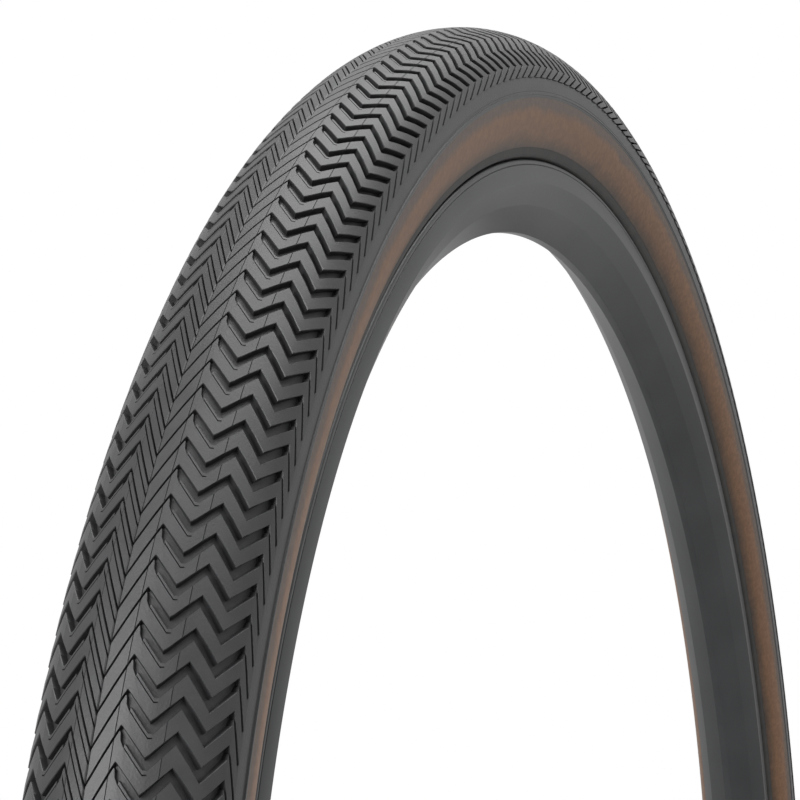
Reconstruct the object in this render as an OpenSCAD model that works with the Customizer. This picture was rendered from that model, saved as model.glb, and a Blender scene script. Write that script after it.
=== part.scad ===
// Bicycle tyre, mounted and inflated on its rim, with a tubeless valve.
// Units are millimetres. The origin is the wheel's centre, the wheel turns
// about the Y axis, and Z points up. The valve is at the bottom of the wheel.

/* [Tyre] */
// Diameter of the circle on which the tyre's beads sit
bead_seat_d = 584; // [400:1:640]
// Height of the inflated tyre, from the bead seat to the crown
tyre_h = 49; // [42:0.5:65]
// Width of the inflated tyre at its widest point
tyre_w = 46.3; // [40:0.1:60]
// Depth of the widest point below the crown
crown_drop = 19.8; // [16:0.1:26]
// Thickness of the tread rubber at the crown
tread_t = 2.3; // [1.6:0.1:4]
// Angle round the section at which the tread ends, 90 is the widest point
tread_edge_a = 100.7; // [92:0.1:108]
// Thickness of the puncture belt
belt_t = 0.35; // [0.2:0.05:0.9]
// Angle round the section at which the puncture belt ends
belt_edge_a = 62; // [40:1:75]
// Thickness of one ply of the casing
ply_t = 0.3; // [0.2:0.05:0.6]
// Thickness of the airtight liner
liner_t = 0.2; // [0.15:0.05:0.5]
// Thickness of the coloured skin on the sidewall
skin_t = 0.6; // [0.4:0.1:1.2]
// How far the tread's edge stands proud of the sidewall skin
skin_step = 0.3; // [0.1:0.05:0.5]
// Half width of the tyre where the sidewall skin meets the chafer
chafer_y = 16.3; // [15.6:0.1:18]
// Height above the bead seat at which the sidewall skin meets the chafer
chafer_h = 8.2; // [7:0.1:10]
// Thickness of the chafer round the bead
chafer_t = 0.5; // [0.4:0.1:0.8]
// Width of the bead on its seat
bead_w = 3.9; // [3.7:0.1:4.4]
// Diameter of the bead core
bead_core_d = 2.4; // [1.8:0.1:2.5]

/* [Rim] */
// Width between the rim's two flanges
rim_inner_w = 25; // [23:0.5:27]
// Height of each flange above the bead seat
flange_h = 4.6; // [4:0.1:5.4]
// Thickness of each flange
flange_t = 2.1; // [1.6:0.1:2.6]
// Depth of the rim from the bead seat to its inner land
rim_depth = 18.4; // [15:0.1:40]
// Width of the flat land at the rim's inner edge
land_w = 3; // [2:0.5:6]
// Half width of the rim at the crease in its side
crease_y = 9.9; // [8:0.1:11]
// Height of the crease above the inner land
crease_h = 8.2; // [6:0.1:10]
// Depth of the flange's outer face below the bead seat
flange_skirt = 3.2; // [2.5:0.1:4]
// Thickness of the rim's side walls
rim_wall = 1.2; // [1:0.1:1.8]
// Thickness of the rim at the inner land
spoke_bed_t = 1.9; // [1.5:0.1:3]
// Thickness of the rim's tyre bed
tyre_bed_t = 1.3; // [1:0.1:2]
// Half width of the bead shelf's inner edge
shelf_y = 7.6; // [7:0.1:8]
// Half width of the channel between the bead shelves
well_y = 5.2; // [4.8:0.1:6]
// Depth of the channel below the bead seat
well_depth = 3.6; // [3:0.1:4.5]
// Height of the ridge that keeps the bead on its shelf
ridge_h = 0.4; // [0.2:0.1:0.6]
// Thickness of the rim tape
tape_t = 0.3; // [0.2:0.05:0.5]

/* [Valve] */
// Diameter of the valve stem
stem_d = 6; // [5.6:0.1:7]
// Diameter of the air passage in the stem
stem_bore_d = 3.4; // [3:0.1:3.8]
// Length of the stem that stands out of the rim
stem_out = 26; // [24:0.5:60]
// Diameter of the valve hole in the rim
valve_hole_d = 6.5; // [6.2:0.1:7.5]
// Diameter of the valve's rubber foot
foot_d = 9; // [8.4:0.1:9.6]
// Diameter of the small end of the valve's rubber foot
foot_top_d = 7; // [6.8:0.1:8]
// Height of the valve's rubber foot above the rim tape
foot_h = 5; // [4:0.1:7]
// Depth of the recess in the foot's small end
foot_recess_h = 1.2; // [0.8:0.1:2]
// Diameter of the recess in the foot's small end
foot_recess_d = 5.6; // [4.5:0.1:5.8]
// Diameter of the rim nut
nut_d = 11; // [10:0.1:14]
// Height of the rim nut
nut_h = 4.5; // [3:0.1:6]
// Thickness of the rubber washer under the rim nut
washer_t = 1.5; // [1:0.1:2.5]
// Outer diameter of the rubber washer
washer_d = 9.6; // [8.5:0.1:12]
// Number of ridges round the rim nut
nut_ridges = 24; // [12:1:36]
// Diameter of one ridge on the rim nut
nut_ridge_d = 0.9; // [0.6:0.1:1.2]
// Diameter of the core body where it screws into the stem
core_d = 4.6; // [4.2:0.1:4.8]
// Length of the core body inside the stem
core_in = 12.5; // [9:0.5:14]
// Thickness of the gasket under the core body
gasket_h = 0.8; // [0.5:0.1:1.2]
// Diameter of the core body's collar, above the stem
collar_d = 5.2; // [4.8:0.1:5.6]
// Height of the collar
collar_h = 4; // [3:0.1:5]
// Width across the collar's two spanner flats
collar_flats = 4.5; // [4:0.1:5]
// Height of the neck above the collar
neck_h = 1.5; // [1:0.1:2]
// Diameter of the neck
neck_d = 3.6; // [3:0.1:4]
// Diameter of the core pin
pin_d = 1.6; // [1.4:0.1:1.8]
// How far the pin can be pressed in
pin_travel = 2; // [1.5:0.1:2.2]
// Thickness of the rubber seal on the pin
seal_h = 1.5; // [1:0.1:2]
// Thickness of the pin's head, under its seal
pin_head_h = 0.5; // [0.4:0.1:0.8]
// Length of the pin's riveted tip, past the tip nut
pin_tip_h = 0.8; // [0.5:0.1:1.2]
// Diameter of the tip nut
tip_nut_d = 3.8; // [3.4:0.1:4.4]
// Height of the tip nut
tip_nut_h = 2.4; // [2:0.1:3]
// Number of ridges round the tip nut
tip_ridges = 12; // [8:1:16]
// Diameter of one ridge on the tip nut
tip_ridge_d = 0.5; // [0.3:0.1:0.6]
// Wall of the valve cap
cap_wall = 0.9; // [0.7:0.1:1.3]
// Length of stem that the cap covers
cap_grip = 3.5; // [2.5:0.1:5]
// Thickness of the rubber liner in the cap's end
cap_liner_t = 0.8; // [0.6:0.1:1.2]
// Number of ridges round the cap
cap_ridges = 12; // [8:1:16]
// Diameter of one ridge on the cap
cap_ridge_d = 0.7; // [0.4:0.1:0.9]
// Length of the ridges on the cap
cap_ridge_h = 7; // [4:0.5:9]

/* [Hidden] */

// Clearances
seat_gap = 0.05;   // tyre bead to rim, a seated bead
turn_gap = 0.06;   // a thread or a sliding pin, radial
free_gap = 0.3;    // pieces that never touch
lift_gap = 0.15;   // washer to the curved land of the rim
ridge_start = 0.6; // rim of the cap to the start of its ridges

// Smoothness of the small round pieces and step round the tyre's section
$fn = 64;
section_step = 4;

// Radii round the wheel's axle
seat_r = bead_seat_d / 2;
crown_r = seat_r + tyre_h;
mid_r = crown_r - crown_drop;
chafer_r = seat_r + chafer_h;
flange_top_r = seat_r + flange_h;
land_r = seat_r - rim_depth;
crease_r = land_r + crease_h;
skirt_r = seat_r - flange_skirt;
well_r = seat_r - well_depth;
bed_r = well_r - tyre_bed_t;
tape_r = well_r + tape_t;

// Widths from the wheel's mid plane
half_w = tyre_w / 2;
flange_in_y = rim_inner_w / 2;
flange_out_y = flange_in_y + flange_t;

// The section is a half ellipse above its widest point and another below it
chafer_a = 180 - asin(chafer_y / half_w);
lower_drop = (mid_r - chafer_r) / -cos(chafer_a);

// Depths of the layers below the outside of the tyre
crown_depth = tread_t + belt_t;
side_depth = skin_step + skin_t;

// How tall each semi-axis of the section is at an angle round it
function semi(a) = abs(a) < 90 ? crown_drop : lower_drop;
// Outward direction at an angle round the section
function normal(a) = let (n = [cos(a) / semi(a), sin(a) / half_w]) n / norm(n);
// Point [radius, y] at an angle round the section and a depth below its outside
function skin(a, depth) = [mid_r + semi(a) * cos(a), half_w * sin(a)] - depth * normal(a);
// Blend from 0 to 1 between two angles
function blend(a, from, to) = max(0, min(1, (abs(a) - from) / (to - from)));
// Depth of the casing: deep under the tread, shallow under the sidewall skin
function casing_depth(a) = crown_depth + (side_depth - crown_depth) * blend(a, belt_edge_a, tread_edge_a);
// Equal steps from one angle up to another, without the last
function steps(from, to) = let (n = ceil((to - from) / section_step))
    [for (i = [0 : n - 1]) from + (to - from) * i / n];
// Angles at which a layer ends, and all the angles that every layer shares,
// so that layers that lie on each other meet along the same corners
layer_ends = [-chafer_a, -tread_edge_a, -belt_edge_a, belt_edge_a, tread_edge_a, chafer_a];
stations = concat([for (i = [0 : len(layer_ends) - 2]) each steps(layer_ends[i], layer_ends[i + 1])],
    [chafer_a]);
// The same list backwards
function backwards(list) = [for (i = [len(list) - 1 : -1 : 0]) list[i]];
// Shared angles from one layer end to another
function angles(from, to) = let (
    picked = [for (a = stations) if (abs(a - (from + to) / 2) < abs(to - from) / 2 + 0.001) a])
    from < to ? picked : backwards(picked);
// Points along the casing at an added depth
function casing_line(from, to, extra) = [for (a = angles(from, to)) skin(a, casing_depth(a) + extra)];
// Points along the outside at a fixed depth
function skin_line(from, to, depth) = [for (a = angles(from, to)) skin(a, depth)];

// The same points on the right side of the wheel, in the opposite order
function on_right(points) = [for (p = backwards(points)) [p[0], -p[1]]];
// Outline of both sides, from a left half that starts and ends on the mid plane
function both_sides(half) = concat(half, on_right([for (i = [1 : len(half) - 2]) half[i]]));
// Unit vector a quarter turn from the way between two points
function across(p, q) = let (d = q - p) [d[1], -d[0]] / norm(d);
// Corner of a wall's inner face, where the outer face turns from pq to qs
function inner_corner(p, q, s, wall) = let (m = across(p, q), n = across(q, s)) q + wall * (m + n) / (1 + m * n);
// Point on the line pq at a radius
function at_radius(p, q, r) = p + (q - p) * (r - p[0]) / (q[0] - p[0]);

// Bead, as [radius, y] points on the left side of the wheel
bead_heel_y = flange_in_y - seat_gap;
bead_toe_y = bead_heel_y - bead_w;
bead_base_r = seat_r + seat_gap;
heel_chamfer = 0.4;
over_flange_r = flange_top_r + 2 * free_gap;
core_pos = [bead_base_r + chafer_t + ply_t + bead_core_d / 2, (bead_heel_y + bead_toe_y) / 2];
ply_bottom_r = bead_base_r + chafer_t;
ply_out_y = bead_heel_y - chafer_t;
ply_in_y = bead_toe_y + chafer_t;
turn_up_r = core_pos[0] + bead_core_d / 2 + 3 * ply_t;
// How far the tyre's wall has moved out over the flange just above its top
flange_lap = 0.4;
// Slope of the ply's turned-up end, as the rise and the way in of its two corners
turn_up_in = 0.8;
turn_up_rise = 1.4;
turn_up_out = 0.5;
// Corner of the chafer that stands over the flange's outer edge
chafer_lip = [over_flange_r + 2 * chafer_t, flange_out_y + chafer_t];

// Heights above the rim's land along the valve, the valve's own scale
washer_top = lift_gap + washer_t;
nut_bottom = washer_top + turn_gap;
core_bottom = stem_out - core_in;
collar_top = stem_out + collar_h;
neck_top = collar_top + neck_h;
tip_nut_bottom = neck_top + pin_travel + free_gap;
pin_top = tip_nut_bottom + tip_nut_h + pin_tip_h;
seal_top = core_bottom - turn_gap;
pin_bottom = seal_top - seal_h - pin_head_h;
cap_bottom = stem_out - cap_grip;
cap_inner_d = stem_d + 2 * turn_gap;
cap_outer_d = cap_inner_d + 2 * cap_wall;
liner_bottom = pin_top + pin_travel / 2;
liner_top = liner_bottom + cap_liner_t;
cap_dome_r = cap_outer_d / 2;
pin_hole_d = pin_d + 2 * turn_gap;

// Corners of the rim's outer face on the left side
land_edge = [land_r, land_w / 2];
crease = [crease_r, crease_y];
skirt = [skirt_r, flange_out_y];
rounding_step = 22.5;
flange_round_r = flange_t / 2;
flange_shoulder_r = flange_top_r - flange_round_r;
flange_end = [for (a = [0 : rounding_step : 180])
    [flange_shoulder_r, flange_in_y + flange_round_r] + flange_round_r * [sin(a), cos(a)]];
rim_left = concat([[land_r, 0], land_edge, crease, skirt], flange_end, [
    [seat_r, flange_in_y], [seat_r, shelf_y + ridge_h], [seat_r + ridge_h, shelf_y],
    [seat_r, shelf_y - ridge_h], [well_r, well_y], [well_r, 0]]);

// Corners of the hollow inside the rim on the left side
crease_in = inner_corner(land_edge, crease, skirt, rim_wall);
skirt_in = inner_corner(crease, skirt, [flange_shoulder_r, flange_out_y], rim_wall);
shelf_under_r = seat_r - tyre_bed_t;
hollow_left = [
    [land_r + spoke_bed_t, 0],
    at_radius(land_edge + rim_wall * across(land_edge, crease), crease_in, land_r + spoke_bed_t),
    crease_in, skirt_in, [shelf_under_r, skirt_in[1]],
    [shelf_under_r, shelf_y - ridge_h], [bed_r, well_y - tyre_bed_t / 2], [bed_r, 0]];

// Height of the tape on the valve's scale, below zero
tape_s = land_r - tape_r;
// The foot stands this far above the tape, because the tape is curved
foot_bottom = tape_s - lift_gap;
foot_top = foot_bottom - foot_h;
stem_bottom = foot_top + foot_recess_h / 3;

// Turns a half section, drawn as [radius, y], about the wheel's axle
module around_wheel() {
    rotate([-90, 0, 0]) rotate_extrude($fn = 180) children();
}

// Draws the same half section on the right side of the wheel
module right_side() {
    mirror([0, 1, 0]) children();
}

// Puts the valve's scale, zero at the rim's land, at the bottom of the wheel
module at_valve() {
    translate([0, 0, -land_r]) children();
}

// A round ring along the valve, from one height to another
module ring(outer_d, inner_d, from, to) {
    translate([0, 0, from]) difference() {
        cylinder(d = outer_d, h = to - from);
        translate([0, 0, -1]) cylinder(d = inner_d, h = to - from + 2);
    }
}

// Outer rubber: the tread and the smooth black band at each of its edges
module tread() {
    inner = concat(
        casing_line(tread_edge_a, belt_edge_a, 0),
        skin_line(belt_edge_a, -belt_edge_a, tread_t),
        casing_line(-belt_edge_a, -tread_edge_a, 0));
    color("#2b2b2b") around_wheel()
        polygon(concat(skin_line(-tread_edge_a, tread_edge_a, 0), inner));
}

// Woven belt under the tread that stops thorns
module puncture_belt() {
    color("#b9a35a") around_wheel()
        polygon(concat(
            skin_line(-belt_edge_a, belt_edge_a, tread_t),
            skin_line(belt_edge_a, -belt_edge_a, crown_depth)));
}

// Outer ply of the casing, from bead to bead. It is turned up round each bead
// core, so it also fills the bead
module casing_outer_ply() {
    bead = [
        [over_flange_r + chafer_t, flange_in_y + flange_lap], [flange_top_r, ply_out_y],
        [ply_bottom_r, ply_out_y], [ply_bottom_r, ply_in_y], [core_pos[0], ply_in_y],
        [turn_up_r, ply_in_y + turn_up_in], [turn_up_r + turn_up_rise, flange_in_y - turn_up_out]];
    color("#4a4038") around_wheel() difference() {
        polygon(concat(
            casing_line(-chafer_a, chafer_a, 0), bead,
            casing_line(chafer_a, -chafer_a, ply_t), on_right(bead)));
        translate(core_pos) circle(d = bead_core_d);
        right_side() translate(core_pos) circle(d = bead_core_d);
    }
}

// Inner ply of the casing, with its cords crossing those of the outer ply
module casing_inner_ply() {
    color("#5a5046") around_wheel()
        polygon(concat(
            casing_line(-chafer_a, chafer_a, ply_t),
            casing_line(chafer_a, -chafer_a, 2 * ply_t)));
}

// Airtight rubber inside the casing
module air_liner() {
    color("#202020") around_wheel()
        polygon(concat(
            casing_line(-chafer_a, chafer_a, 2 * ply_t),
            casing_line(chafer_a, -chafer_a, 2 * ply_t + liner_t)));
}

// Tan rubber skin on one sidewall
module sidewall_skin() {
    polygon(concat(
        skin_line(tread_edge_a, chafer_a, skin_step),
        casing_line(chafer_a, tread_edge_a, 0)));
}

module sidewall_left() {
    color("#6b4a36") around_wheel() sidewall_skin();
}

module sidewall_right() {
    color("#6b4a36") around_wheel() right_side() sidewall_skin();
}

// Rubbered cloth strip that guards the bead against the rim
module chafer_strip() {
    polygon([
        skin(chafer_a, skin_step),
        chafer_lip,
        [over_flange_r, flange_in_y + flange_t / 2 + flange_lap],
        [flange_top_r, bead_heel_y],
        [bead_base_r + heel_chamfer, bead_heel_y],
        [bead_base_r, bead_heel_y - heel_chamfer],
        [bead_base_r, bead_toe_y],
        [core_pos[0], bead_toe_y],
        [core_pos[0], ply_in_y],
        [ply_bottom_r, ply_in_y],
        [ply_bottom_r, ply_out_y],
        [flange_top_r, ply_out_y],
        [over_flange_r + chafer_t, flange_in_y + flange_lap],
        skin(chafer_a, side_depth)]);
}

module chafer_left() {
    color("#333333") around_wheel() chafer_strip();
}

module chafer_right() {
    color("#333333") around_wheel() right_side() chafer_strip();
}

// Bundle of aramid cord that holds the tyre on its seat
module bead_core_left() {
    color("#c8a02c") around_wheel() translate(core_pos) circle(d = bead_core_d);
}

module bead_core_right() {
    color("#c8a02c") around_wheel() right_side() translate(core_pos) circle(d = bead_core_d);
}

// Hole for the valve, through every wall it is cut from
module valve_hole(d) {
    at_valve() translate([0, 0, -2 * rim_depth]) cylinder(d = d, h = 3 * rim_depth);
}

// Hollow aluminium rim
module rim() {
    color("#262626") difference() {
        around_wheel() difference() {
            polygon(both_sides(rim_left));
            polygon(both_sides(hollow_left));
        }
        valve_hole(valve_hole_d);
    }
}

// Airtight tape along the rim's channel
module rim_tape() {
    tape_left = [
        [well_r, 0], [well_r, well_y], [seat_r, shelf_y - ridge_h],
        [seat_r + tape_t, shelf_y - ridge_h - tape_t],
        [tape_r, well_y - tape_t], [tape_r, 0]];
    color("#d8c23a") difference() {
        around_wheel() polygon(both_sides(tape_left));
        valve_hole(stem_d + 2 * free_gap);
    }
}

// Rubber foot that seals the valve against the tape
module valve_foot() {
    color("#1c1c1c") at_valve() difference() {
        translate([0, 0, foot_top]) cylinder(d1 = foot_top_d, d2 = foot_d, h = foot_h);
        translate([0, 0, foot_top - 1]) cylinder(d = stem_d, h = foot_h + 2);
        translate([0, 0, foot_top - 1]) cylinder(d = foot_recess_d, h = 1 + foot_recess_h);
    }
}

// Threaded aluminium stem with the air passage through it
module valve_stem() {
    color("#3a3a3c") at_valve() difference() {
        translate([0, 0, stem_bottom]) cylinder(d = stem_d, h = stem_out - stem_bottom);
        translate([0, 0, foot_top - 1]) cylinder(d = stem_bore_d, h = stem_out - foot_top + 2);
        translate([0, 0, core_bottom - gasket_h]) cylinder(d = core_d, h = core_in + gasket_h + 1);
    }
}

// Rubber washer between the rim nut and the rim
module rim_washer() {
    color("#1c1c1c") at_valve() ring(washer_d, stem_d + 2 * turn_gap, lift_gap, washer_top);
}

// Ridged nut that clamps the valve to the rim
module rim_nut() {
    nut_grip_h = nut_h * 0.8;
    color("#3a3a3c") at_valve() difference() {
        union() {
            ring(nut_d - nut_ridge_d, stem_d + 2 * turn_gap, nut_bottom, nut_bottom + nut_h);
            for (i = [0 : nut_ridges - 1])
                rotate([0, 0, i * 360 / nut_ridges])
                    translate([(nut_d - nut_ridge_d) / 2, 0, nut_bottom])
                        cylinder(d = nut_ridge_d, h = nut_grip_h);
        }
        translate([0, 0, nut_bottom - 1]) cylinder(d = stem_d + 2 * turn_gap, h = nut_h + 2);
    }
}

// Ring that seals the core in the stem
module core_gasket() {
    color("#e8e4d8") at_valve() ring(core_d, stem_bore_d, core_bottom - gasket_h, core_bottom);
}

// Removable core, with two flats on its collar for a spanner
module core_body() {
    color("#c9b37a") at_valve() difference() {
        union() {
            translate([0, 0, core_bottom]) cylinder(d = core_d, h = core_in);
            intersection() {
                translate([0, 0, stem_out]) cylinder(d = collar_d, h = collar_h);
                translate([-collar_d, -collar_flats / 2, stem_out])
                    cube([2 * collar_d, collar_flats, collar_h]);
            }
            translate([0, 0, collar_top]) cylinder(d = neck_d, h = neck_h);
        }
        translate([0, 0, core_bottom - 1]) cylinder(d = pin_hole_d, h = neck_top - core_bottom + 2);
    }
}

// Pin that is pressed to let air in or out, with a head that carries its seal
module core_pin() {
    color("#c9b37a") at_valve() union() {
        translate([0, 0, pin_bottom]) cylinder(d = pin_d, h = pin_top - pin_bottom);
        translate([0, 0, pin_bottom]) cylinder(d = stem_bore_d - 2 * free_gap, h = pin_head_h);
    }
}

// Rubber seal on the pin, below the core body
module pin_seal() {
    color("#1c1c1c") at_valve()
        ring(stem_bore_d - free_gap, pin_d, pin_bottom + pin_head_h, seal_top);
}

// Nut at the pin's tip that locks the valve shut
module tip_nut() {
    color("#c9b37a") at_valve() difference() {
        union() {
            translate([0, 0, tip_nut_bottom]) cylinder(d = tip_nut_d - tip_ridge_d, h = tip_nut_h);
            for (i = [0 : tip_ridges - 1])
                rotate([0, 0, i * 360 / tip_ridges])
                    translate([(tip_nut_d - tip_ridge_d) / 2, 0, tip_nut_bottom])
                        cylinder(d = tip_ridge_d, h = tip_nut_h);
        }
        translate([0, 0, tip_nut_bottom - 1]) cylinder(d = pin_hole_d, h = tip_nut_h + 2);
    }
}

// Rubber disc in the end of the cap
module cap_liner() {
    color("#1c1c1c") at_valve()
        translate([0, 0, liner_bottom]) cylinder(d = cap_inner_d, h = cap_liner_t);
}

// Ridged cap with a domed end
module valve_cap() {
    color("#3a3a3c") at_valve() difference() {
        union() {
            translate([0, 0, cap_bottom]) cylinder(d = cap_outer_d, h = liner_top - cap_bottom);
            intersection() {
                translate([0, 0, liner_top]) sphere(d = cap_outer_d);
                translate([0, 0, liner_top]) cylinder(d = cap_outer_d + 1, h = cap_dome_r + 1);
            }
            for (i = [0 : cap_ridges - 1])
                rotate([0, 0, i * 360 / cap_ridges])
                    translate([cap_outer_d / 2, 0, cap_bottom + ridge_start])
                        cylinder(d = cap_ridge_d, h = cap_ridge_h);
        }
        translate([0, 0, cap_bottom - 1]) cylinder(d = cap_inner_d, h = liner_top - cap_bottom + 1);
    }
}

tread();
puncture_belt();
casing_outer_ply();
casing_inner_ply();
air_liner();
sidewall_left();
sidewall_right();
chafer_left();
chafer_right();
bead_core_left();
bead_core_right();
rim();
rim_tape();
valve_foot();
valve_stem();
rim_washer();
rim_nut();
core_gasket();
core_body();
core_pin();
pin_seal();
tip_nut();
cap_liner();
valve_cap();
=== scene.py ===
# %% [markdown]
# # A gravel tyre on its rim
# This notebook dresses a bicycle tyre: an inflated casing with a black zigzag tread, tan
# sidewalls, a deep black rim and a valve. The frame that is loaded first already holds every
# piece at its real size. The rings that the eye rests on are modelled again here with their
# real detail, and the other pieces keep their shape and get a proper finish.

# %% Load the frame
import math

import bpy
import numpy as np
from mathutils import Matrix, Vector


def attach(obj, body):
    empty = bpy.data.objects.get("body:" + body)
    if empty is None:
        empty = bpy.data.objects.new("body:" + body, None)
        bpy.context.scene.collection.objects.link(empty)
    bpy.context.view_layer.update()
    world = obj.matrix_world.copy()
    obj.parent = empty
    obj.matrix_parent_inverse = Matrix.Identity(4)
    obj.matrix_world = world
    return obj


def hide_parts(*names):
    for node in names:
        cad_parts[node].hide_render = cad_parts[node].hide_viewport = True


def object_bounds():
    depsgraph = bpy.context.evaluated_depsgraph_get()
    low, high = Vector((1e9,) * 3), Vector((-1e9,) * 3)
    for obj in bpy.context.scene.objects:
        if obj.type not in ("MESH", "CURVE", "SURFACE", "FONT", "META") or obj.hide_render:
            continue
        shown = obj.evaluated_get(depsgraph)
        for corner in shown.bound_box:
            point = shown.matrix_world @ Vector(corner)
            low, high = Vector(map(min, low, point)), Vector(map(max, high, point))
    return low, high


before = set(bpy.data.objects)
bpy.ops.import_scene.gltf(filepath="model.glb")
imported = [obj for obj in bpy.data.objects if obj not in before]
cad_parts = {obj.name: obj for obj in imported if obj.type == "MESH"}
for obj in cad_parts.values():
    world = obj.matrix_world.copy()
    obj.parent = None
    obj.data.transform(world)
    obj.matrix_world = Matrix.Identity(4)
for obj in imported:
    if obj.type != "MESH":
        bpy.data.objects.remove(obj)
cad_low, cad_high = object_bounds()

MM = 0.001
print("CAD box", [round(v, 4) for v in cad_low], [round(v, 4) for v in cad_high])

# %% [markdown]
# ## Sizes
# The tyre's section is a half ellipse above its widest point and a deeper one below it. Every
# layer lies at a depth below that outline, so one function turns an angle round the section
# and a depth into a radius and a width. All sizes are in millimetres and follow the frame's
# box: its top is the crown of the tread, and its width is the tyre's.

# %% Sizes of the tyre's section
CROWN_R = cad_high.z / MM
HALF_W = cad_high.y / MM
CROWN_DROP = 19.8        # widest point below the crown
CHAFER_R = CROWN_R - 40.8
CHAFER_Y = 16.3
TREAD_EDGE = 100.7       # degrees round the section
SKIN_STEP = 0.3          # the tan skin lies this far below the outline
MID_R = CROWN_R - CROWN_DROP
CHAFER_ANGLE = 180 - math.degrees(math.asin(CHAFER_Y / HALF_W))
LOWER_DROP = (CHAFER_R - MID_R) / math.cos(math.radians(CHAFER_ANGLE))


def section_point(angle, depth):
    """Radius and half width at an angle round the section and a depth below the outline."""
    turn = np.radians(angle)
    semi = np.where(np.asarray(angle) < 90, CROWN_DROP, LOWER_DROP)
    out_r, out_y = np.cos(turn) / semi, np.sin(turn) / HALF_W
    length = np.hypot(out_r, out_y)
    radius = MID_R + semi * np.cos(turn) - depth * out_r / length
    return radius, HALF_W * np.sin(turn) - depth * out_y / length


arc_angle = np.linspace(0, 140, 1401)
arc_r, arc_y = section_point(arc_angle, 0)
arc_length = np.concatenate([[0], np.cumsum(np.hypot(np.diff(arc_r), np.diff(arc_y)))])
print("section:", round(float(np.interp(TREAD_EDGE, arc_angle, arc_length)), 2), "mm crown to tread edge")

# %% [markdown]
# ## Small helpers
# Colours are written as sRGB hex and turned to linear light by one function. One more function
# adds a shader node with its settings and links. The first geometry helper clears the
# selection, because an operator acts on everything that is selected.

# %% Helpers for colours and nodes
def linear(code, alpha=1.0):
    """Linear colour from an sRGB hex code."""
    values = [int(code[i:i + 2], 16) / 255 for i in (1, 3, 5)]
    return tuple(v / 12.92 if v <= 0.04045 else ((v + 0.055) / 1.055) ** 2.4 for v in values) + (alpha,)


def add(tree, kind, sockets=None, links=None, **settings):
    """Adds a node, sets its properties and sockets, and links other nodes' outputs to it."""
    made = tree.nodes.new(kind)
    for name, value in settings.items():
        setattr(made, name, value)
    for name, value in (sockets or {}).items():
        made.inputs[name].default_value = value
    for name, output in (links or {}).items():
        tree.links.new(output, made.inputs[name])
    return made


def ramp(tree, factor, stops):
    """Colour ramp from (position, hex) stops."""
    made = add(tree, "ShaderNodeValToRGB", links={"Fac": factor})
    elements = made.color_ramp.elements
    for element, (place, code) in zip(elements, stops):
        element.position = place
        element.color = linear(code)
    for place, code in stops[2:]:
        elements.new(place).color = linear(code)
    return made.outputs["Color"]


def new_material(name, **surface):
    """Empty material with a Principled shader. Returns the material, its tree and the shader."""
    material = bpy.data.materials.new(name)
    material.use_nodes = True
    tree = material.node_tree
    shader = tree.nodes["Principled BSDF"]
    for socket, value in surface.items():
        shader.inputs[socket.replace("_", " ")].default_value = value
    return material, tree, shader


def object_place(tree):
    """Object coordinates, which on every piece here are metres from the wheel's centre."""
    return add(tree, "ShaderNodeTexCoord").outputs["Object"]


def wheel_radius(tree, place):
    """Distance from the axle, in metres."""
    flat = add(tree, "ShaderNodeVectorMath", {1: (1, 0, 1)}, {0: place}, operation="MULTIPLY")
    return add(tree, "ShaderNodeVectorMath", links={0: flat.outputs[0]}, operation="LENGTH").outputs["Value"]


def noise(tree, place, size_mm, detail=2.0, rough=0.5):
    """Noise whose features are about size_mm across."""
    sockets = {"Scale": 1 / (size_mm * MM), "Detail": detail, "Roughness": rough}
    return add(tree, "ShaderNodeTexNoise", sockets, {"Vector": place}).outputs["Fac"]


def bump(tree, shader, height, depth_mm, strength=1.0):
    """Sends a height pattern to the shader's normal."""
    sockets = {"Strength": strength, "Distance": depth_mm * MM}
    made = add(tree, "ShaderNodeBump", sockets, {"Height": height})
    tree.links.new(made.outputs["Normal"], shader.inputs["Normal"])


# %% [markdown]
# ## Finishes
# The tread is vulcanised black rubber: the mould leaves it matt with a very fine grain, and
# faint grey clouds lie over it. The tan skin is a thin rubber over woven cords. It is warm
# brown, cloudy, and greys towards the tread. The rim is aluminium, bead blasted and black
# anodised: a dark oxide with a soft, broad sheen.

# %% Black rubber
def moulded_black_rubber(name, dark, pale):
    """Vulcanised rubber: matt, with a fine grain and faint grey bloom."""
    material, tree, shader = new_material(name, Roughness=0.46, Specular_IOR_Level=0.36)
    place = object_place(tree)
    cloud = noise(tree, place, 9, 5, 0.6)
    tree.links.new(ramp(tree, cloud, [(0.3, dark), (0.72, pale)]), shader.inputs["Base Color"])
    # the real grain is 0.1 mm, drawn at 0.5 mm so that it shows
    bump(tree, shader, noise(tree, place, 0.5, 3, 0.6), 0.07, 0.8)
    return material


tread_rubber = moulded_black_rubber("tread_rubber", "#1b1b1c", "#252526")
valve_rubber = moulded_black_rubber("valve_rubber", "#151515", "#1e1e1e")
print("rubber ready")

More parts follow.
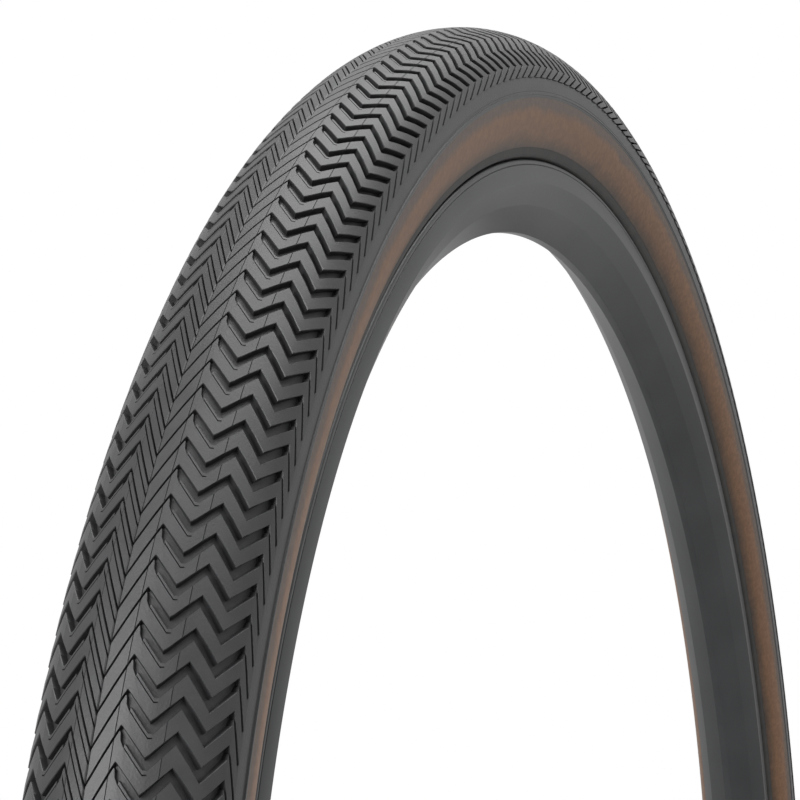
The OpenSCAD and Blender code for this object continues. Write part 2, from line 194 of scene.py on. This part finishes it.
# %% Tan skin and chafer
def cloudy_tan_skin():
    """Thin tan rubber over cords: warm in the middle of the wall, greyer at both edges."""
    material, tree, shader = new_material("tan_rubber_skin", Roughness=0.5, Specular_IOR_Level=0.22)
    place = object_place(tree)
    span = add(tree, "ShaderNodeMapRange", {"From Min": (CHAFER_R - 0.5) * MM, "From Max": 0.3160},
               {"Value": wheel_radius(tree, place)})
    cloud = noise(tree, place, 14, 6, 0.62)
    shifted = add(tree, "ShaderNodeMath", {1: 0.34}, {0: cloud}, operation="MULTIPLY_ADD")
    tree.links.new(span.outputs[0], shifted.inputs[2])
    wall = ramp(tree, shifted.outputs[0], [(0.12, "#2a2725"), (0.26, "#46362a"), (0.48, "#614630"),
                                           (0.85, "#674a33"), (1.0, "#4c4038")])
    fleck = ramp(tree, noise(tree, place, 2.2, 4, 0.7), [(0.42, "#e2ddd8"), (0.62, "#ffffff")])
    blend = add(tree, "ShaderNodeMix", {0: 1.0}, {6: wall, 7: fleck}, data_type="RGBA", blend_type="MULTIPLY")
    tree.links.new(blend.outputs[2], shader.inputs["Base Color"])
    bump(tree, shader, noise(tree, place, 0.7, 3, 0.6), 0.04, 0.5)
    return material


def rubbered_chafer_cloth():
    """Fine dark cloth pressed into rubber: a grey with olive and plum clouds."""
    material, tree, shader = new_material("rubbered_chafer_cloth", Roughness=0.6, Specular_IOR_Level=0.2)
    place = object_place(tree)
    cloud = noise(tree, place, 8, 6, 0.65)
    tree.links.new(ramp(tree, cloud, [(0.3, "#1f1e20"), (0.5, "#262523"), (0.72, "#2e2b2a")]),
                   shader.inputs["Base Color"])
    bump(tree, shader, noise(tree, place, 0.6, 3, 0.6), 0.05, 0.6)
    return material


tan_skin = cloudy_tan_skin()
chafer_cloth = rubbered_chafer_cloth()
print("tan skin and chafer cloth ready")

# %% Metals
def black_anodised_aluminium(name, code, roughness, grain_mm):
    """Bead-blasted aluminium under a black oxide: dark, with a wide soft sheen."""
    material, tree, shader = new_material(name, Metallic=0.3, Roughness=roughness, Specular_IOR_Level=0.35)
    place = object_place(tree)
    patch = noise(tree, place, 30, 3, 0.5)
    tree.links.new(ramp(tree, patch, [(0.3, code), (0.75, "#2c2d2e")]), shader.inputs["Base Color"])
    bump(tree, shader, noise(tree, place, grain_mm, 2, 0.5), 0.02, 0.4)
    return material


def turned_brass():
    """Brass cut on a lathe: warm metal with fine rings across it."""
    material, tree, shader = new_material("turned_brass", Metallic=1.0, Roughness=0.28)
    place = object_place(tree)
    patch = noise(tree, place, 3, 3, 0.5)
    tree.links.new(ramp(tree, patch, [(0.3, "#b89a52"), (0.7, "#cdb26c")]), shader.inputs["Base Color"])
    # rings of a 0.15 mm feed
    rings = add(tree, "ShaderNodeTexWave", {"Scale": 1 / (0.15 * MM) / 20}, {"Vector": place},
                bands_direction="Z")
    bump(tree, shader, rings.outputs["Fac"], 0.01, 0.4)
    return material


rim_finish = black_anodised_aluminium("black_anodised_rim", "#232425", 0.42, 0.6)
valve_finish = black_anodised_aluminium("black_anodised_valve", "#28282a", 0.32, 0.3)
brass = turned_brass()
print("metals ready")

# %% Hidden layers
def woven_cloth(name, dark, pale, thread_mm):
    """Crossed cords, drawn as bands along one diagonal."""
    material, tree, shader = new_material(name, Roughness=0.75)
    place = object_place(tree)
    bands = add(tree, "ShaderNodeTexWave", {"Scale": 1 / (thread_mm * MM) / 20, "Distortion": 0.5},
                {"Vector": place}, bands_direction="DIAGONAL")
    tree.links.new(ramp(tree, bands.outputs["Fac"], [(0.2, dark), (0.8, pale)]), shader.inputs["Base Color"])
    bump(tree, shader, bands.outputs["Fac"], 0.1, 0.5)
    return material


def smooth_film(name, dark, pale, roughness):
    """Thin film or moulded plastic, faintly uneven."""
    material, tree, shader = new_material(name, Roughness=roughness)
    place = object_place(tree)
    cloud = noise(tree, place, 6, 2, 0.5)
    tree.links.new(ramp(tree, cloud, [(0.3, dark), (0.7, pale)]), shader.inputs["Base Color"])
    return material


casing_cloth = woven_cloth("casing_cloth", "#40372f", "#564a3f", 0.9)
belt_cloth = woven_cloth("belt_cloth", "#a08c45", "#c4b067", 1.1)
aramid_cord = woven_cloth("aramid_cord", "#b08c24", "#d3ae43", 0.7)
butyl = smooth_film("butyl_liner", "#181818", "#232323", 0.45)
tape_film = smooth_film("tape_film", "#c9b52f", "#dcca4a", 0.3)
gasket_plastic = smooth_film("gasket_plastic", "#dedad0", "#ebe8df", 0.4)
print("hidden layers ready")

# %% Give the carried-over pieces their finish
KEPT = {
    "puncture_belt": belt_cloth, "casing_outer_ply": casing_cloth, "casing_inner_ply": casing_cloth,
    "air_liner": butyl, "bead_core_left": aramid_cord, "bead_core_right": aramid_cord,
    "rim_tape": tape_film, "valve_foot": valve_rubber, "valve_stem": valve_finish,
    "rim_washer": valve_rubber, "rim_nut": valve_finish, "core_gasket": gasket_plastic,
    "core_body": brass, "core_pin": brass, "pin_seal": valve_rubber, "tip_nut": brass,
    "cap_liner": valve_rubber, "valve_cap": valve_finish}
for kept_name, finish in KEPT.items():
    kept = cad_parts[kept_name]
    kept.data.materials.clear()
    kept.data.materials.append(finish)
print("finished", len(KEPT), "carried-over pieces")

# %% [markdown]
# ## Rings
# Most of a wheel is a ring, so most pieces here are an outline turned once round the axle, as
# on a lathe. The outline is drawn beside the axle in radius and width, its corners are rounded
# with a vertex bevel where the real edge is rounded, and the Spin tool turns it. The first and
# last copy meet, so doubles are merged before the normals are made to point outwards.

# %% Ring helpers
def clear_selection():
    """Nothing selected, so the next operator acts on its own object only."""
    if bpy.context.object and bpy.context.object.mode != "OBJECT":
        bpy.ops.object.mode_set(mode="OBJECT")
    bpy.ops.object.select_all(action="DESELECT")


def make_active(piece):
    """The one selected, active object."""
    clear_selection()
    piece.select_set(True)
    bpy.context.view_layer.objects.active = piece


def close_up(inside=False):
    """In edit mode: merges doubles, then points every face outwards."""
    bpy.ops.mesh.select_all(action="SELECT")
    bpy.ops.mesh.remove_doubles(threshold=0.002 * MM)
    bpy.ops.mesh.normals_make_consistent(inside=inside)


def turned_ring(name, outline, corner_mm=0.0, inside=False, steps=512):
    """Closed outline of (radius, y) points in mm, turned about the axle."""
    clear_selection()
    mesh = bpy.data.meshes.new(name)
    points = [(radius * MM, y * MM, 0) for radius, y in outline]
    mesh.from_pydata(points, [(i, (i + 1) % len(points)) for i in range(len(points))], [])
    piece = bpy.data.objects.new(name, mesh)
    bpy.context.scene.collection.objects.link(piece)
    make_active(piece)
    bpy.ops.object.mode_set(mode="EDIT")
    bpy.ops.mesh.select_all(action="SELECT")
    if corner_mm:
        bpy.ops.mesh.bevel(offset=corner_mm * MM, segments=3, affect="VERTICES")
        bpy.ops.mesh.select_all(action="SELECT")
    bpy.ops.mesh.spin(steps=steps, angle=2 * math.pi, center=(0, 0, 0), axis=(0, 1, 0))
    close_up(inside)
    bpy.ops.object.mode_set(mode="OBJECT")
    bpy.ops.object.shade_smooth_by_angle(angle=math.radians(32))
    return piece


def dress(piece, finish, slot, body, *nodes):
    """Finish, slot, body and the frame's nodes that the piece stands for; the slot is not used."""
    piece.data.materials.append(finish)
    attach(piece, body)
    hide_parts(*nodes)
    print(piece.name, len(piece.data.polygons), "faces")


# %% [markdown]
# ## Tread pattern
# A zigzag groove crosses each half of the tread, shoulder to centre, once in every pitch. At
# the centre it narrows to a slit that runs to the middle seam, and at the shoulder to a
# slanted slit. So one cell of the pattern is a grid whose rows cross the tyre and whose
# columns follow the groove: over its lower lip, down the wall, along the floor, up the upper
# lip, over a fine sipe and on to the next groove. The cell is shaped flat, repeated with an
# Array modifier, and then laid on the tyre.

# %% Sizes of the pattern, across the tyre from its middle and along it from the groove's inner tip
PITCHES = 291
PITCH = 2 * math.pi * CROWN_R / PITCHES
TIP_TURN = math.radians(143.075)   # where one groove's inner tip lies round the wheel
FLOOR_UNDER = 2.2                  # underside of the rubber
LIP = 0.18                         # rounding of the groove's lips
WALL_DRAFT = 0.12                  # the mould's taper
STRIP_END = 32.9
LOWER_EDGE = [(0.0, 12.0), (5.6, 0.1), (5.8, 0.0), (11.4, 6.25), (17.1, -0.1), (22.95, 6.2),
              (28.85, -0.15), (29.0, 0.2), (STRIP_END, 10.8)]
UPPER_EDGE = [(0.0, 12.85), (5.6, 0.95), (5.8, 1.3), (6.05, 2.9), (6.9, 4.5), (7.05, 3.5), (11.2, 8.5),
              (12.2, 8.5), (17.05, 2.6), (22.9, 9.4), (28.8, 2.95), (29.0, 1.7), (STRIP_END, 13.2)]
GROOVE_DEPTH = [(0.0, 1.2), (6, 1.35), (12, 1.6), (18, 1.8), (28.8, 1.8), (29.0, 1.6), (STRIP_END, 1.6)]
SCORE_LINES = [4.7, 14.65]         # fine lines where the mould's parts meet
ROWS = [0.04, 0.3, 2.9, 4.6, 4.7, 4.8, 5.6, 5.8, 6.05, 6.9, 7.05, 9.1, 11.3, 12.2, 14.55, 14.65, 14.75,
        17.05, 20.0, 22.9, 25.9, 28.8, 29.0, 30.3, 31.6, STRIP_END - 0.15]
UNDER_ROWS = [STRIP_END, 25.0, 17.0, 9.0, 0.02]


def along(knots, across):
    """Value of a line given by (across, along) knots."""
    return float(np.interp(across, [k[0] for k in knots], [k[1] for k in knots]))


def row_of_cell(across, far):
    """Columns of one row, as (along, depth) pairs over one pitch."""
    low, high, deep = (along(k, across) for k in (LOWER_EDGE, UPPER_EDGE, GROOVE_DEPTH))
    lip = min(LIP, (high - low) / 4)
    draft = min(WALL_DRAFT, (high - low) / 6)
    top = 0.14 if across in SCORE_LINES else (0.2 if across < 0.1 else 0.0)
    sipe, sipe_deep, sipe_half = high + lip + 0.75, 0.0, 0.16
    if 7.0 < across < 11.6:
        sipe, sipe_deep = high + lip + 0.85, 0.9
    if far and across < 5.7:
        sipe, sipe_deep, sipe_half = high + lip + 2.2, 1.1, 0.4
    deep = max(deep, top)
    lip_deep = min(top + lip, deep)
    return [(low - lip, top), (low, lip_deep), (low + draft, deep), (high - draft, deep), (high, lip_deep),
            (high + lip, top), (sipe - sipe_half, top), (sipe, max(top, sipe_deep)), (sipe + sipe_half, top),
            (low - lip + PITCH, top)]


def cell_rows(far):
    """All rows of the cell: (across, [(along, depth), ...]), over the top and back underneath."""
    rows = [(across, row_of_cell(across, far)) for across in ROWS]
    for across in UNDER_ROWS:
        start = along(LOWER_EDGE, across) - LIP
        rows.append((across, [(start + PITCH * i / 9, FLOOR_UNDER) for i in range(10)]))
    return rows + rows[:1]


# %% One flat cell, its copies, and the tyre's shape
def lay_on_tyre(piece, side):
    """Moves flat (along, across, -depth) vertices onto the tyre's section and round the wheel."""
    flat = np.empty(len(piece.data.vertices) * 3)
    piece.data.vertices.foreach_get("co", flat)
    run, across, height = flat.reshape(-1, 3).T / MM
    angle = np.interp(across, arc_length, arc_angle)
    radius, y = section_point(angle, -height)
    turn = TIP_TURN + run / CROWN_R
    placed = np.stack([radius * np.cos(turn), side * y, radius * np.sin(turn)], axis=1) * MM
    piece.data.vertices.foreach_set("co", placed.ravel())


def tread_half(name, side, far):
    """One half of the tread, as a closed ring of cells."""
    rows = cell_rows(far)
    clear_selection()
    bpy.ops.mesh.primitive_grid_add(x_subdivisions=9, y_subdivisions=len(rows) - 1, size=1)
    piece = bpy.context.object
    piece.name = piece.data.name = name
    for vertex in piece.data.vertices:
        column = round((vertex.co.x + 0.5) * 9)
        across, profile = rows[round((vertex.co.y + 0.5) * (len(rows) - 1))]
        run, depth = profile[column]
        vertex.co = (run * MM, across * MM, -depth * MM)
    copies = piece.modifiers.new("pitches", "ARRAY")
    copies.count = PITCHES
    copies.use_relative_offset = False
    copies.use_constant_offset = True
    copies.constant_offset_displace = (PITCH * MM, 0, 0)
    bpy.ops.object.modifier_apply(modifier=copies.name)
    lay_on_tyre(piece, side)
    bpy.ops.object.mode_set(mode="EDIT")
    close_up()
    bpy.ops.object.mode_set(mode="OBJECT")
    bpy.ops.object.shade_smooth_by_angle(angle=math.radians(28))
    return piece


tread_right = tread_half("tread_right", -1, far=False)
dress(tread_right, tread_rubber, "tread_rubber", "wheel", "tread")
tread_left = tread_half("tread_left", 1, far=True)
dress(tread_left, tread_rubber, "tread_rubber", "wheel", "tread")

# %% [markdown]
# ## Shoulder bands and sidewalls
# Past the pattern the tread is a smooth black band with a scored line and a thin raised
# line, where the mould's halves press the tan skin. The tan skin is a plain shell of the
# section's own curve. Both are turned rings, drawn as points on the section.

# %% Shoulder bands
def section_outline(points):
    """(radius, y) points from (arc length from the crown, depth) pairs."""
    outline = []
    for length, depth in points:
        radius, y = section_point(float(np.interp(length, arc_length, arc_angle)), depth)
        outline.append((float(radius), float(y)))
    return outline


def other_side(outline, side):
    """The outline on the left side, 1, or mirrored to the right side, -1."""
    return [(radius, side * y) for radius, y in outline]


edge_length = float(np.interp(TREAD_EDGE, arc_angle, arc_length))
chafer_length = float(np.interp(CHAFER_ANGLE, arc_angle, arc_length))
BAND_TOP = 0.4
SCORE = edge_length - 1.85
RIDGE = edge_length - 1.1
band_points = [(STRIP_END - 0.2, 2.0), (STRIP_END - 0.2, BAND_TOP + 0.1), (STRIP_END + 0.1, BAND_TOP)]
band_points += [(STRIP_END + 0.8 * i, BAND_TOP) for i in range(1, 5)]
band_points += [(SCORE - 0.25, BAND_TOP), (SCORE - 0.1, 0.5), (SCORE + 0.1, 0.5), (SCORE + 0.25, BAND_TOP),
                (RIDGE - 0.3, BAND_TOP), (RIDGE - 0.2, 0.03), (RIDGE, 0.0), (RIDGE + 0.2, 0.03),
                (RIDGE + 0.3, 0.2), (edge_length - 0.2, 0.2), (edge_length, 0.3), (edge_length, 2.0)]
for side_name, side in (("right", -1), ("left", 1)):
    band = turned_ring("tread_band_" + side_name, other_side(section_outline(band_points), side))
    dress(band, tread_rubber, "tread_rubber", "wheel", "tread")

# %% Tan sidewalls
SKIN_T = 0.6
lengths = np.linspace(edge_length - 0.05, chafer_length, 15)
skin_points = [(length, SKIN_STEP) for length in lengths]
skin_points += [(length, SKIN_STEP + SKIN_T) for length in lengths[::-1]]
for side_name, side in (("right", -1), ("left", 1)):
    wall = turned_ring("sidewall_skin_" + side_name, other_side(section_outline(skin_points), side))
    dress(wall, tan_skin, "tan_rubber", "wheel", "sidewall_" + side_name)

# %% [markdown]
# ## Chafers
# The chafer is the dark strip that rubs on the rim. It carries on from the tan skin, rolls
# over the rim's edge with a soft lip, and goes down into the rim beside the bead.

# %% Chafer strips
SEAT_R = CROWN_R - 49
FLANGE_IN = 12.5
FLANGE_OUT = 14.6
FLANGE_TOP = SEAT_R + 4.6
BEAD_HEEL = FLANGE_IN - 0.05
BEAD_TOE = BEAD_HEEL - 3.9
chafer_edge, chafer_inner = section_outline([(chafer_length, SKIN_STEP), (chafer_length, SKIN_STEP + SKIN_T)])
chafer_outline = [
    chafer_edge, (FLANGE_TOP + 2.6, 15.65), (FLANGE_TOP + 1.6, 15.25), (FLANGE_TOP + 0.9, 14.7),
    (FLANGE_TOP + 0.6, 13.95), (FLANGE_TOP, BEAD_HEEL), (SEAT_R + 0.45, BEAD_HEEL),
    (SEAT_R + 0.05, BEAD_HEEL - 0.4), (SEAT_R + 0.05, BEAD_TOE), (SEAT_R + 2, BEAD_TOE),
    (SEAT_R + 2, BEAD_TOE + 0.5), (SEAT_R + 0.55, BEAD_TOE + 0.5), (SEAT_R + 0.55, BEAD_HEEL - 0.5),
    (FLANGE_TOP, BEAD_HEEL - 0.5), (FLANGE_TOP + 1.1, FLANGE_IN + 0.4), chafer_inner]
for side_name, side in (("right", -1), ("left", 1)):
    strip = turned_ring("chafer_strip_" + side_name, other_side(chafer_outline, side), corner_mm=0.16)
    dress(strip, chafer_cloth, "chafer_cloth", "wheel", "chafer_" + side_name)

# %% [markdown]
# ## Rim
# The rim is a hollow extrusion: a narrow land at its inner edge, two walls that widen to a
# crease and on to upright flanges, and inside them the shelves for the beads and a channel.
# Its corners are a little rounded by the blasting. The hollow is a second ring with its faces
# turned inwards, joined to the first, and the valve hole is cut through both with a Boolean.

# %% Rim
LAND_R = SEAT_R - 18.4
CREASE = (LAND_R + 8.2, 9.9)
FLANGE_FOOT = (SEAT_R - 3.2, FLANGE_OUT)
LINE_R = FLANGE_TOP - 1.75       # fine turned line below the flange's lip
flange_mid = (FLANGE_IN + FLANGE_OUT) / 2
flange_half = (FLANGE_OUT - FLANGE_IN) / 2
lip_arc = [(FLANGE_TOP - flange_half * (1 - math.sin(a)), flange_mid + flange_half * math.cos(a))
           for a in np.radians(np.linspace(15, 180, 9))]
rim_half = [
    (LAND_R, 1.5), CREASE, FLANGE_FOOT, (LINE_R - 0.14, FLANGE_OUT), (LINE_R - 0.1, FLANGE_OUT - 0.3),
    (LINE_R + 0.1, FLANGE_OUT - 0.3), (LINE_R + 0.14, FLANGE_OUT - 0.04)] + lip_arc + [
    (SEAT_R, FLANGE_IN), (SEAT_R, 8.0), (SEAT_R + 0.4, 7.6), (SEAT_R, 7.2), (SEAT_R - 3.6, 5.2)]
rim_outline = rim_half + [(radius, -y) for radius, y in rim_half[::-1]]
hollow_half = [(LAND_R + 1.9, 1.75), (CREASE[0] + 0.6, 8.75), (FLANGE_FOOT[0] + 0.3, 13.35), (SEAT_R - 1.3, 13.4),
               (SEAT_R - 1.3, 7.2), (SEAT_R - 4.9, 4.55)]
hollow_outline = hollow_half + [(radius, -y) for radius, y in hollow_half[::-1]]
rim = turned_ring("rim_extrusion", rim_outline, corner_mm=0.12)
hollow = turned_ring("rim_hollow", hollow_outline, corner_mm=0.3, inside=True, steps=256)
make_active(rim)
hollow.select_set(True)
bpy.ops.object.join()
VALVE_HOLE_D = 6.5
clear_selection()
bpy.ops.mesh.primitive_cylinder_add(vertices=48, radius=VALVE_HOLE_D / 2 * MM, depth=40 * MM,
                                    location=(0, 0, -(LAND_R + 8) * MM))
drill = bpy.context.object
make_active(rim)
cut = rim.modifiers.new("valve_hole", "BOOLEAN")
cut.object = drill
cut.solver = "EXACT"
bpy.ops.object.modifier_apply(modifier=cut.name)
bpy.data.objects.remove(drill)
bpy.ops.object.shade_smooth_by_angle(angle=math.radians(32))
dress(rim, rim_finish, "black_anodised_rim", "wheel", "rim")

# %% [markdown]
# ## Stage
# A wheel this size stands on a pale floor that turns to clean white a little way off. Near
# the wheel the floor is an ordinary matt surface, so it keeps the shadow. The white comes from
# what camera and mirror rays see and adds no light to the tyre.

# %% Floor and world
def pale_floor():
    """Matt floor near the wheel, plain white further off."""
    material = bpy.data.materials.new("pale_floor")
    material.use_nodes = True
    tree = material.node_tree
    tree.nodes.clear()
    place = object_place(tree)
    far_off = add(tree, "ShaderNodeVectorMath", links={0: place}, operation="LENGTH").outputs["Value"]
    fade = add(tree, "ShaderNodeMapRange", {"From Min": 0.55, "From Max": 1.3}, {"Value": far_off},
               interpolation_type="SMOOTHSTEP")
    ray = add(tree, "ShaderNodeLightPath")
    seen = add(tree, "ShaderNodeMath", links={0: ray.outputs["Is Camera Ray"], 1: ray.outputs["Is Glossy Ray"]},
               operation="MAXIMUM")
    seen = add(tree, "ShaderNodeMath", links={0: seen.outputs[0], 1: ray.outputs["Is Transmission Ray"]},
               operation="MAXIMUM")
    factor = add(tree, "ShaderNodeMath", links={0: seen.outputs[0], 1: fade.outputs[0]}, operation="MULTIPLY")
    matt = add(tree, "ShaderNodeBsdfDiffuse", {"Color": linear("#e6e6e6")})
    white = add(tree, "ShaderNodeEmission", {"Color": (1, 1, 1, 1), "Strength": 1.0})
    mix = add(tree, "ShaderNodeMixShader", links={0: factor.outputs[0], 1: matt.outputs[0], 2: white.outputs[0]})
    add(tree, "ShaderNodeOutputMaterial", links={"Surface": mix.outputs[0]})
    return material


clear_selection()
bpy.ops.mesh.primitive_plane_add(size=60, location=(0, 0, 0))
floor = bpy.context.object
floor.name = "floor"
floor.data.transform(Matrix.Translation((0, 0, cad_low.z)))
floor.data.materials.append(pale_floor())

world = bpy.data.worlds.new("studio")
bpy.context.scene.world = world
world.use_nodes = True
sky = world.node_tree
sky.nodes.clear()
ray = add(sky, "ShaderNodeLightPath")
seen = add(sky, "ShaderNodeMath", links={0: ray.outputs["Is Camera Ray"], 1: ray.outputs["Is Glossy Ray"]},
           operation="MAXIMUM")
seen = add(sky, "ShaderNodeMath", links={0: seen.outputs[0], 1: ray.outputs["Is Transmission Ray"]},
           operation="MAXIMUM")
ambient = add(sky, "ShaderNodeBackground", {"Color": (1, 1, 1, 1), "Strength": 0.3})
white = add(sky, "ShaderNodeBackground", {"Color": (1, 1, 1, 1), "Strength": 1.0})
mix = add(sky, "ShaderNodeMixShader", links={0: seen.outputs[0], 1: ambient.outputs[0], 2: white.outputs[0]})
add(sky, "ShaderNodeOutputWorld", links={"Surface": mix.outputs[0]})
print("stage ready")

# %% [markdown]
# ## Light and camera
# A broad lamp hangs above and behind the crown, so the rib tops catch its sheen. A key light
# stands to the left of the camera, and a weaker one fills from the right. The camera stands close behind the wheel and a little to its right, so the tread
# sweeps over the picture and the near sidewall and rim show on the right.

# %% Lights
def soft_light(name, place, aim, size, power):
    """Square area lamp at a place, turned towards an aim."""
    lamp = bpy.data.lights.new(name, "AREA")
    lamp.shape = "SQUARE"
    lamp.size = size
    lamp.energy = power
    holder = bpy.data.objects.new(name, lamp)
    holder.location = place
    holder.rotation_euler = (Vector(aim) - Vector(place)).to_track_quat("-Z", "Y").to_euler()
    bpy.context.scene.collection.objects.link(holder)


soft_light("overhead", (0.05, -0.3, 1.5), (-0.1, 0, 0.25), 1.5, 34)
soft_light("key", (-1.5, 0.35, 0.85), (-0.1, 0, 0.1), 0.9, 38)
soft_light("fill", (-0.6, -1.9, 0.7), (0, 0, 0.1), 1.4, 4)

# %% Camera
CAMERA_PLACE = Vector((-0.622989, -0.193393, 0.208346))
AZIMUTH, ELEVATION, ROLL = (math.radians(v) for v in (-68.74, -0.93, -4.10))
back = Vector((math.sin(AZIMUTH) * math.cos(ELEVATION), -math.cos(AZIMUTH) * math.cos(ELEVATION),
               math.sin(ELEVATION)))
level_right = (-back).cross(Vector((0, 0, 1))).normalized()
level_up = level_right.cross(-back)
right = level_right * math.cos(ROLL) + level_up * math.sin(ROLL)
up = level_up * math.cos(ROLL) - level_right * math.sin(ROLL)
lens = bpy.data.cameras.new("camera")
lens.lens = 83.94
lens.sensor_width = 36
lens.clip_start = 0.01
camera = bpy.data.objects.new("camera", lens)
turn = Matrix((right, up, back)).transposed().to_4x4()
camera.matrix_world = Matrix.Translation(CAMERA_PLACE) @ turn
bpy.context.scene.collection.objects.link(camera)
bpy.context.scene.camera = camera
bpy.context.scene.view_settings.view_transform = "Standard"
print("camera", [round(v, 3) for v in CAMERA_PLACE])
